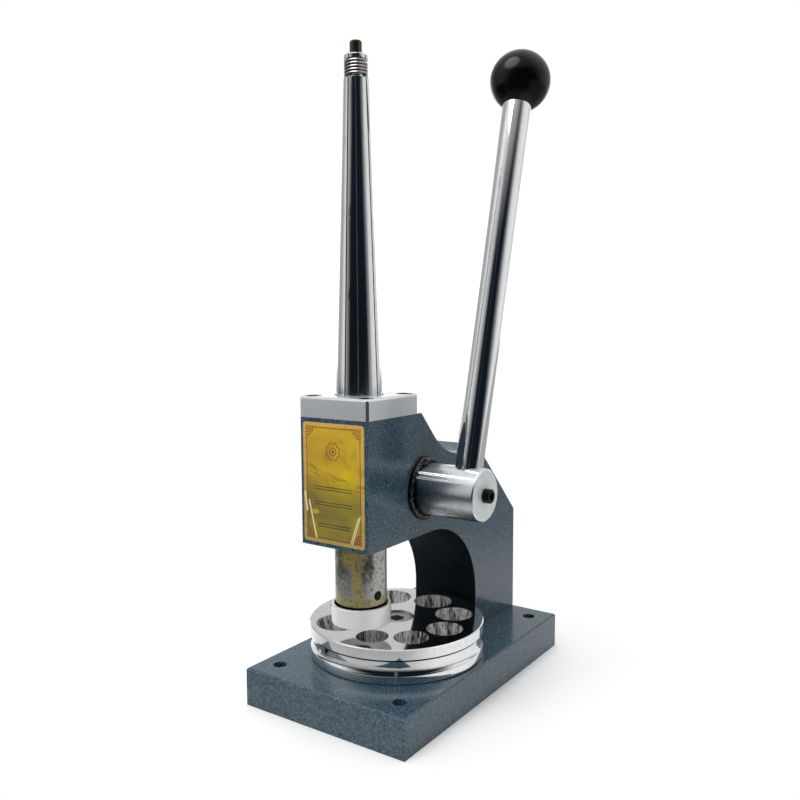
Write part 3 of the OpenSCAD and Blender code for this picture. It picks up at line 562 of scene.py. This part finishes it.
# %% Black plastic
def black_plastic():
    paint = Paint("black_plastic", Base_Color=(0.0010, 0.0014, 0.0013), Specular_IOR_Level=0.18)
    paint.wear(Roughness=0.12 + 0.12 * paint.noise(40, detail=3))
    paint.bump(paint.noise(300, detail=1), 0.01 * MM)
    return paint.material


plastic = black_plastic()
print("plastic:", plastic.name)

# %% [markdown]
# ## The walls of the dies
# A reamed taper is bright, with marks that run down the wall. They could be cut as
# grooves in each die. Noise that hardly changes with height gives such marks in every die
# at once, wherever the die stands, and paints white and black stripes as painted reflections.

# %% Die walls
REFLECTION_BLACK, REFLECTION_WHITE = (0.02, 0.025, 0.02), (1.0, 1.0, 0.98)


def die_wall():
    paint = Paint("die_wall")
    streaks = paint.noise(1100, detail=3, roughness=0.7, at=paint.stretch(1, 1, 0.06))
    broad = paint.noise(240, detail=2, at=paint.stretch(1, 1, 0.10))
    # tone is a painted reflection: white stripes stand for light mirrored in the wall, black ones
    # for the dark, and the white ones are less metallic so the lamps light them
    tone = paint.limit(streaks, 0.40, 0.54) * 0.5 + paint.limit(broad, 0.40, 0.52) * 0.5
    paint.wear(Base_Color=paint.blend(tone, REFLECTION_BLACK, REFLECTION_WHITE))
    paint.wear(Metallic=1 - 0.6 * tone)
    paint.wear(Roughness=0.10 + 0.16 * streaks)
    paint.bump(streaks * 0.4 + broad * 0.6, 0.9 * MM)
    return paint.material


wall_reflection_paint = die_wall()
print("materials:", len(bpy.data.materials))

# %% [markdown]
# ## From a solid to a finished surface
# The solids of the frame have knife edges, and no real edge is one. Their triangles are
# loose, so a Bevel modifier would find no edge that joins two faces. Instead a copy of
# each solid is merged, its flat faces are joined again, and every sharp edge gets a small
# bevel that catches the light. The copy stands in for the solid and rides on its body.

# %% Shape helpers
SHARP = math.radians(32)
FLAT = math.radians(0.4)
WELD = 0.002 * MM


def merged_copy(node):
    bm = bmesh.new()
    bm.from_mesh(frame["nodes"][node].data)
    bmesh.ops.remove_doubles(bm, verts=bm.verts, dist=WELD)
    bmesh.ops.dissolve_limit(bm, angle_limit=FLAT, verts=bm.verts, edges=bm.edges)
    return bm


def soften(bm, width, segments):
    edges = [e for e in bm.edges if len(e.link_faces) == 2 and e.calc_face_angle() > SHARP]
    bmesh.ops.bevel(bm, geom=edges, offset=width, segments=segments, profile=0.5,
                    affect="EDGES", material=-1, clamp_overlap=True)


def piece_from(name, bm):
    mesh = bpy.data.meshes.new(name)
    bm.to_mesh(mesh)
    bm.free()
    piece = bpy.data.objects.new(name, mesh)
    bpy.context.scene.collection.objects.link(piece)
    return piece


print("edges sharper than", round(math.degrees(SHARP)), "degrees are bevelled")

# %% Dressing helpers
body_of = {node: body for body, nodes in frame["record"]["behaviour"]["bodies"].items()
           for node in nodes}
slot_of = {part["node"]: part["material_slot"] for part in frame["record"]["subparts"]}


def dress(piece, paint, body, slot, *nodes, sharp=SHARP):
    """Gives a piece its material and shading, and puts it on its body."""
    piece.data.materials.clear()
    piece.data.materials.append(paint)
    piece.data.polygons.foreach_set("use_smooth", [True] * len(piece.data.polygons))
    piece.data.set_sharp_from_angle(angle=sharp)
    weighted = piece.modifiers.new("weighted", "WEIGHTED_NORMAL")
    weighted.keep_sharp = True
    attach(piece, body)
    if nodes:
        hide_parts(*nodes)
    print(piece.name, "faces", len(piece.data.polygons))
    return piece


def finish_solid(node, paint, bevel=0.0, segments=2):
    """bevel is in millimetres."""
    bm = merged_copy(node)
    if bevel:
        soften(bm, bevel * MM, segments)
    piece = piece_from(node + "_finished", bm)
    return dress(piece, paint, body_of[node], slot_of[node], node)


def repaint(piece, paint, wanted):
    """Gives a second material to the faces for which wanted is true."""
    piece.data.materials.append(paint)
    chosen = [face for face in piece.data.polygons if wanted(face)]
    for face in chosen:
        face.material_index = len(piece.data.materials) - 1
    print(piece.name, "repainted faces", len(chosen))


print("nodes with a body:", len(body_of), "and with a slot:", len(slot_of))

# %% [markdown]
# ## The castings
# The base and the arm have the widest rounding, because enamel fills an edge. The inside
# of the arch is part of the arm's casting, so it stays one piece, and only the faces near
# the arch's centre that don't look sideways take the darkened coat of painted shade.

# %% Castings
ARCH = Vector((0, -12.95, 44.0)) * MM
ARCH_R = 48.5 * MM
# How far the arch's faces may lie outside its circle, which takes in its straight foot
ARCH_MARGIN = 6.5 * MM


def in_arch(face):
    away = math.hypot(face.center.y - ARCH.y, face.center.z - ARCH.z)
    return abs(face.normal.x) < 0.6 and away < ARCH_R + ARCH_MARGIN


finish_solid("base_plate", enamel_coat, 0.6, 3)
arm = finish_solid("frame_arm", enamel_coat, 0.7, 3)
# The faces inside the arch get painted shade: a darkened enamel with almost no gloss
repaint(arm, arch_shade_coat, in_arch)
finish_solid("column_screws", blackened)

# %% [markdown]
# ## The head
# The label lies on the front of the head and the ground block on its top. Machined steel
# has a scraped edge of a few tenths of a millimetre. The block's upright edge between its
# front and its right face is worn bright, so that bevel alone is chrome.

# %% Label and block
def on_front_edge(face):
    front_right = 0.2 < face.normal.x < 0.98 and -0.98 < face.normal.y < -0.2
    return abs(face.normal.z) < 0.3 and front_right


finish_solid("label_plate", foil, 0.12)
block = finish_solid("mandrel_block", ground, 0.3)
repaint(block, chrome, on_front_edge)
finish_solid("block_screws", blackened)

# %% [markdown]
# ## What stays still inside
# Bushes, the wheel's bolt, the index and the coil round the mandrel belong to the frame.
# Most of them hide, and are dressed all the same, for a view that takes the machine apart.

# %% Small parts of the frame
finish_solid("shaft_bush_right", greasy, 0.3)
finish_solid("shaft_bush_left", bronze, 0.2)
finish_solid("wheel_pivot_bolt", grey, 0.2)
finish_solid("thrust_washer", bronze, 0.1)
finish_solid("index_ball", chrome)
finish_solid("index_spring", wire_steel)
finish_solid("index_screw", blackened)
finish_solid("retaining_coil", wire_steel)

# %% [markdown]
# ## Shaft and lever
# The shaft's hub is bright round its side and matt on its faced end, which is why the end
# takes a material of its own. The rod is chromed and the ball is plastic.

# %% Shaft and lever
HUB_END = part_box("pinion_shaft")[1].x


def on_hub_end(face):
    return face.normal.x > 0.9 and face.center.x > HUB_END - 1 * MM


shaft = finish_solid("pinion_shaft", hub_steel)
repaint(shaft, matt_steel, on_hub_end)
finish_solid("shaft_washer", blackened, 0.2)
finish_solid("shaft_screw", blackened)
finish_solid("lever_rod", chrome)
finish_solid("ball_knob", plastic)
finish_solid("lever_lock_screw", blackened, 0.1)

# %% [markdown]
# ## Ram and core
# They move up and down together: the oily ram, the satin collar that presses the ring,
# and the oiled core that runs up through the mandrel.

# %% Ram and core
finish_solid("rack_ram", ram_steel)
finish_solid("presser_collar", satin, 0.15)
finish_solid("presser_screw", blackened)
finish_solid("wedge_core", oiled)
finish_solid("core_lock_nut", blackened)

# %% [markdown]
# ## The die wheel
# The wheel is chromed all over, but the walls of its dies are reamed bright with painted
# reflections, and the groove under its rim is painted black as shade. Both lie at a known
# distance from the pivot, so that distance and the height pick their faces.

# %% Die wheel
PIVOT = Vector(joints["wheel_turn"]["pos_m"])
DIES_INSIDE = 20 * MM
DIES_OUTSIDE = 47.5 * MM
RIM_HEIGHT = 5.6 * MM
RIM_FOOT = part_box("die_wheel")[1].z - RIM_HEIGHT
GROOVE_HEIGHT = 0.65 * MM
SLACK = 0.05 * MM


def from_pivot(face):
    return math.hypot(face.center.x - PIVOT.x, face.center.y - PIVOT.y)


def on_die_wall(face):
    return abs(face.normal.z) < 0.6 and DIES_INSIDE < from_pivot(face) < DIES_OUTSIDE


def in_groove(face):
    height = face.center.z - RIM_FOOT
    return -GROOVE_HEIGHT < height < SLACK and from_pivot(face) > DIES_OUTSIDE


wheel = finish_solid("die_wheel", chrome)
# The die walls take white and black stripes of painted reflection
repaint(wheel, wall_reflection_paint, on_die_wall)
# The groove under the rim is painted black: painted shade where the rim's shadow falls
repaint(wheel, grease_and_shade_black, in_groove)
finish_solid("wheel_bush", bronze)

# %% [markdown]
# ## The mandrel
# Four quarters of one tapered bar, polished along its length. Their edges are broken by a
# tenth of a millimetre, so the slots show as fine dark lines.

# %% Mandrel
for number in (1, 2, 3, 4):
    finish_solid(f"mandrel_segment_{number}", polished, 0.1)

# %% [markdown]
# ## Grease round the hub
# The black that has come out of the bush is a lumpy bead, thicker at the top. It could be
# sculpted by hand. Here a small circle is spun once round the hub's axis, and then every
# point of the tube is pushed out or in along its own direction by a noise value, so that
# the bead is nowhere round.

# %% Spun tubes
def spun_tube(start, section, sides, centre, axis, steps):
    """A circle at start, spun round axis. The tube runs along y at its start."""
    bm = bmesh.new()
    place = Matrix.Translation(start) @ Matrix.Rotation(math.pi / 2, 4, "X")
    bmesh.ops.create_circle(bm, segments=sides, radius=section, matrix=place)
    bmesh.ops.spin(bm, geom=bm.verts[:] + bm.edges[:], cent=centre, axis=axis,
                   angle=math.tau, steps=steps, use_merge=True)
    return bm


def black_bead(name, bm, body, node):
    """A tube becomes a black bead on the body: grease round the hub, painted shade under the rim.
    """
    bmesh.ops.recalc_face_normals(bm, faces=bm.faces)
    dress(piece_from(name, bm), grease_and_shade_black, body, slot_of[node], sharp=math.pi)


HUB = Vector(joints["lever_turn"]["pos_m"])
print("the hub's axis is at y and z", [round(v / MM, 1) for v in HUB.yz])

# %% Grease bead
BEAD_X = BUSH_FACE - 0.2 * MM
BEAD_R = 16.1 * MM
BEAD_SECTION = 1.25 * MM
# Where the grease has heaped up, and where it has run thin, as angles round the hub
HEAP_AT, HEAP_WIDTH = math.radians(78), 0.14
THIN_AT, THIN_WIDTH = math.radians(-80), 0.9


def swelling(point, turned):
    """How many times its own radius the tube has at a point."""
    lump = 1.0 + 0.5 * noise.noise(point * 420) + 0.35 * noise.noise(point * 1300)
    heap = 0.9 * math.exp(-((turned - HEAP_AT) / HEAP_WIDTH) ** 2)
    thin = 0.35 * math.exp(-((turned - THIN_AT) / THIN_WIDTH) ** 2)
    return lump + heap - thin


def grease_bead():
    start = (BEAD_X, HUB.y, HUB.z + BEAD_R)
    bm = spun_tube(start, BEAD_SECTION, 14, HUB, (1, 0, 0), 140)
    for vert in bm.verts:
        off = vert.co - HUB
        turned = math.atan2(off.z, -off.y)
        middle = Vector((BEAD_X, HUB.y - BEAD_R * math.cos(turned),
                         HUB.z + BEAD_R * math.sin(turned)))
        vert.co = middle + (vert.co - middle) * swelling(vert.co, turned)
    black_bead("grease_bead", bm, "frame", "shaft_bush_right")


grease_bead()

# %% [markdown]
# ## Painted shade under the rim
# A thin black line of painted shade lies in the corner under the rim. The paint in the groove
# alone can't be seen, because the rim hangs over it, so the line is a bead with a little body.
# It is round, and needs no lumps: the same spun tube, left as it is.

# %% Shade line
SHADE_LINE_SECTION = 0.5 * MM
SHADE_LINE_BELOW_RIM = 0.8 * MM
SHADE_LINE_INSIDE_RIM = 1.15 * MM


# A black bead of painted shade in the corner under the rim, where the rim's shadow falls
def rim_shade_bead():
    middle = Vector((PIVOT.x, PIVOT.y, RIM_FOOT - SHADE_LINE_BELOW_RIM))
    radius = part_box("die_wheel")[1].x - PIVOT.x - SHADE_LINE_INSIDE_RIM
    start = middle + Vector((radius, 0, 0))
    bm = spun_tube(start, SHADE_LINE_SECTION, 8, middle, (0, 0, 1), 180)
    black_bead("rim_shade_line", bm, "wheel", "die_wheel")


rim_shade_bead()

# %% [markdown]
# ## Studio
# Polished metal shows the room rather than itself. Product photographers stand the piece
# in a white tent and leave one dark gap where the camera looks in: that gap is the dark
# stripe down the middle of every bright cylinder. The world does the same here. It is
# white for the camera. Matt surfaces get a pale sky that is a little darker round the
# camera's side. Reflections see a soft-edged dark gap there with a thin bright slit in it.

# %% World
GAP_LOW, GAP_HIGH = (0.004, 0.006, 0.007), (0.006, 0.011, 0.018)


def dark_gap(web, azimuth, z):
    """1 where the tent is open towards the camera. The gap narrows as it rises."""
    narrower = 22 * web.limit(z, 0.06, 0.40)
    return web.limit(web.apart(azimuth, 3) + narrower, 82, 44) * web.limit(z, 0.75, 0.5)


def tent_seen(web, azimuth, z, gap):
    """What a bright surface mirrors."""
    beyond = web.math("ABSOLUTE", azimuth)
    flank = web.limit(web.apart(beyond, 82), 34, 4)
    behind = web.limit(beyond, 135, 165) * web.limit(z, 0.34, 0.14, 0.20, 1.3)
    right_wall = web.limit(web.apart(azimuth, 122), 34, 20)
    ceiling = web.limit(z, 0.45, 0.85)
    tent = 0.46 + 0.46 * flank + 0.34 * right_wall + behind + 0.35 * ceiling
    slit = web.limit(web.apart(azimuth, -1), 2.4, 1.2)
    dark = web.blend(web.limit(z, -0.1, 0.25), GAP_LOW, GAP_HIGH)
    return web.blend(gap * (1 - 0.25 * slit), tent, dark)


def studio_world():
    world = bpy.data.worlds.new("studio")
    bpy.context.scene.world = world
    world.use_nodes = True
    web = Web(world.node_tree)
    # Generated is the direction of the ray here
    toward = web.node("TexCoord", out="Generated")
    x, y, z = (web.node("SeparateXYZ", {}, {0: toward}, out=name) for name in "XYZ")
    azimuth = web.bearing(x, y)
    gap = dark_gap(web, azimuth, z)
    # The lee is the side to the camera's right, which gets the least light
    lee = web.limit(web.apart(azimuth, 70), 75, 25) * web.limit(z, 0.7, 0.3)
    even = (0.32 + 0.50 * web.limit(z, -0.1, 0.8)) * (1 - 0.4 * gap) * (1 - 0.35 * lee)
    camera_ray = web.node("LightPath", out="Is Camera Ray")
    glossy_ray = web.node("LightPath", out="Is Glossy Ray")
    light = web.blend(glossy_ray, even, tent_seen(web, azimuth, z, gap))
    background = world.node_tree.nodes["Background"].inputs["Color"]
    web.feed(background, web.blend(camera_ray, light, 1.0))
    return world


world = studio_world()
print("the world's web has", len(world.node_tree.nodes), "nodes")

# %% [markdown]
# ## Lamps
# The world alone would leave no shadow and no direction. Two wide soft lamps give both,
# and no metal mirrors them, because they would cross the bright stripes of the tent. A
# third, small one stands near the ball and is mirrored: it is the highlight on the ball.

# %% Lamps
def soft_lamp(name, place, aim, size, power, mirrored=False):
    """A round soft box. Unless it is mirrored, no metal shows it."""
    light = bpy.data.lights.new(name, "AREA")
    light.shape = "DISK"
    light.size = size
    light.energy = power
    lamp = bpy.data.objects.new(name, light)
    facing = (aim - place).to_track_quat("-Z", "Y").to_matrix().to_4x4()
    lamp.matrix_world = Matrix.Translation(place) @ facing
    lamp.visible_glossy = mirrored
    bpy.context.scene.collection.objects.link(lamp)
    print(name, "size", size, "m, power", power, "W")


MIDDLE = Vector((0, -20, 120)) * MM
BALL = (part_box("ball_knob")[0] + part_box("ball_knob")[1]) / 2
BALL_LAMP = BALL + Vector((-0.20, -0.52, 0.83)) * 0.28
soft_lamp("front_lamp", Vector((-0.25, -0.75, 1.05)), MIDDLE, size=0.6, power=4.6)
soft_lamp("top_lamp", Vector((-0.1, 0.1, 1.2)), MIDDLE, size=0.8, power=3.5)
soft_lamp("ball_lamp", BALL_LAMP, BALL, size=0.22, power=0.60, mirrored=True)

# %% [markdown]
# ## Floor
# The floor is a wide pale sheet. Near the machine it takes a soft shadow, and further out
# it fades to pure white, so that no horizon shows. Metal that mirrors it sees a dimmer
# floor, because a real sheet is lit only where the lamps reach.

# %% Floor
FLOOR_GREY = (0.93, 0.93, 0.93)
FLOOR_RADIUS = 4


def glowing(paint, colour):
    return paint.node("Emission", {}, {"Color": colour, "Strength": 1.0})


def mirrored_floor(paint, away):
    """What a bright surface mirrors: paler at both sides, dark far away in front."""
    azimuth = paint.bearing(paint.axis("X"), paint.axis("Y"))
    sides = paint.limit(azimuth, 0, 40) + paint.limit(azimuth, -70, -120)
    front = paint.limit(paint.apart(azimuth, -45), 95, 65)
    close_by = glowing(paint, paint.blend(sides, 0.46, 0.95))
    far_off = glowing(paint, paint.blend(front, 0.46, 0.07))
    return paint.mix(paint.limit(away, 0.2, 0.42), close_by, far_off)


def floor():
    bm = bmesh.new()
    bmesh.ops.create_circle(bm, cap_ends=True, segments=64, radius=FLOOR_RADIUS)
    piece = piece_from("floor", bm)
    paint = Paint("floor", Base_Color=FLOOR_GREY, Roughness=0.6)
    away = paint.node("VectorMath", {"operation": "LENGTH"}, {0: paint.place}, out="Value")
    camera_ray = paint.node("LightPath", out="Is Camera Ray")
    glossy_ray = paint.node("LightPath", out="Is Glossy Ray")
    glow = paint.mix(glossy_ray, glowing(paint, 1.0), mirrored_floor(paint, away))
    fade = paint.limit(away, 0.05, 0.17) * paint.math("MAXIMUM", camera_ray, glossy_ray)
    paint.cover(fade, glow)
    piece.data.materials.append(paint.material)


floor()
print("floor radius", FLOOR_RADIUS, "m")

# %% [markdown]
